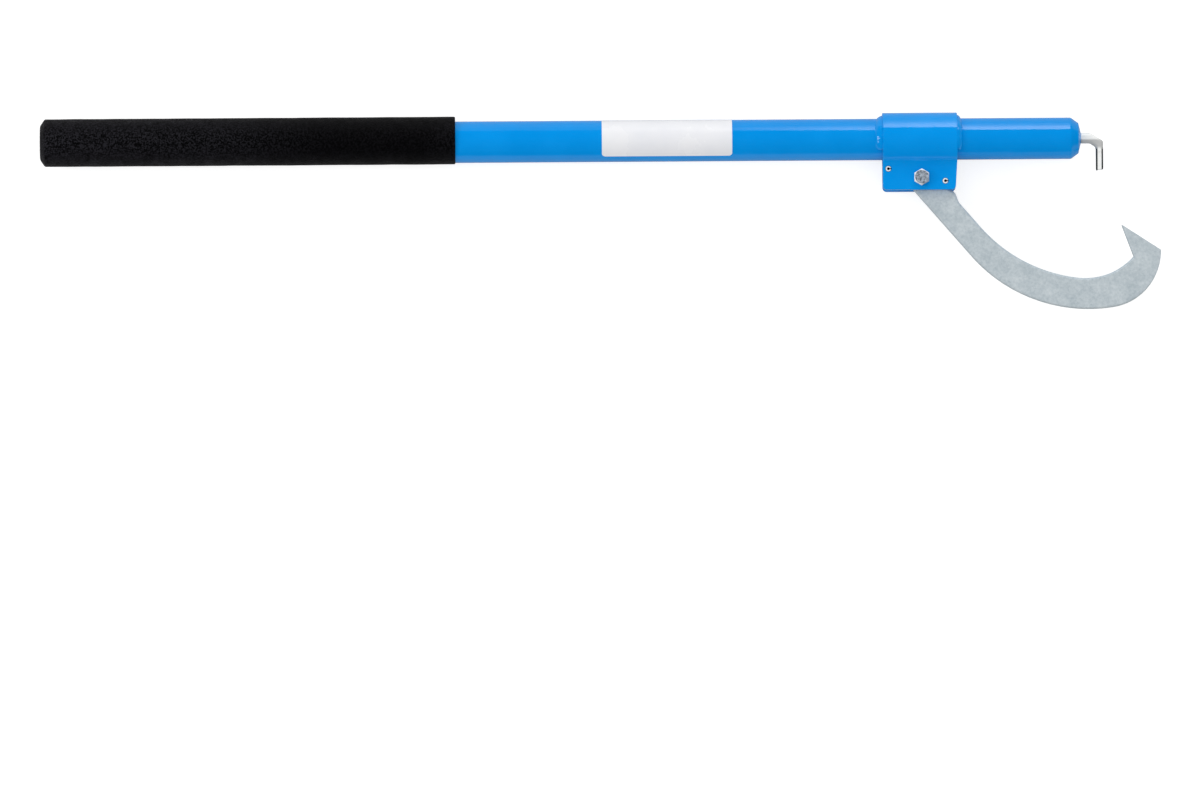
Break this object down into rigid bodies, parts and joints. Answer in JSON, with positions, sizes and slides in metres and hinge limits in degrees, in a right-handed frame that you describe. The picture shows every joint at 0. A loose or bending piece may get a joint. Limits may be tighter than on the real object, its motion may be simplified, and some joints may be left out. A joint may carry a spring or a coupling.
{
  "type": "cant hook",
  "caption": "Short cant hook with a blue tubular handle, foam grip, swinging steel hook on a welded two-ear saddle and a fixed bent toe claw at the nose",
  "frame": {"origin": "where the handle's axis meets the butt's end face", "axes": "+X along the handle from the butt to the toe claw, +Y away from the hook's side, +Z along the hook's pivot bolt towards its head; the tool lies on its side"},
  "size_m": [0.8564, 0.1512, 0.0406],
  "materials": {
    "blue_paint": "gloss blue powder coat over aluminium",
    "black_foam": "matte black closed-cell foam",
    "black_plastic": "moulded black plastic",
    "hook_zinc": "zinc plated steel plate",
    "claw_steel": "bright bar with ground flats",
    "bolt_zinc": "zinc plated",
    "white_nylon": "satin nylon",
    "spring_steel": "plated spring steel",
    "white_label": "blank glossy vinyl label"
  },
  "bodies": {
    "handle": {"handle_tube": "blue_paint", "nose_plug": "blue_paint", "saddle": "blue_paint", "rear_weld": "blue_paint", "front_weld": "blue_paint", "foam_grip": "black_foam", "butt_plug": "black_plastic", "toe_claw": "claw_steel", "pivot_bolt": "bolt_zinc", "pivot_washer": "bolt_zinc", "pivot_nut": "bolt_zinc", "toe_nut": "bolt_zinc", "toe_lock_washer": "bolt_zinc", "nut_insert": "white_nylon", "front_stop_pin": "spring_steel", "rear_stop_pin": "spring_steel", "label": "white_label"},
    "hook": {"log_hook": "hook_zinc"}
  },
  "joints": [
    {"name": "hook_swing", "type": "hinge", "parent": "handle", "child": "hook", "pos_m": [0.6738, -0.0301, 0], "axis": [0, 0, 1], "range_deg": [-115.5, 0]}
  ]
}
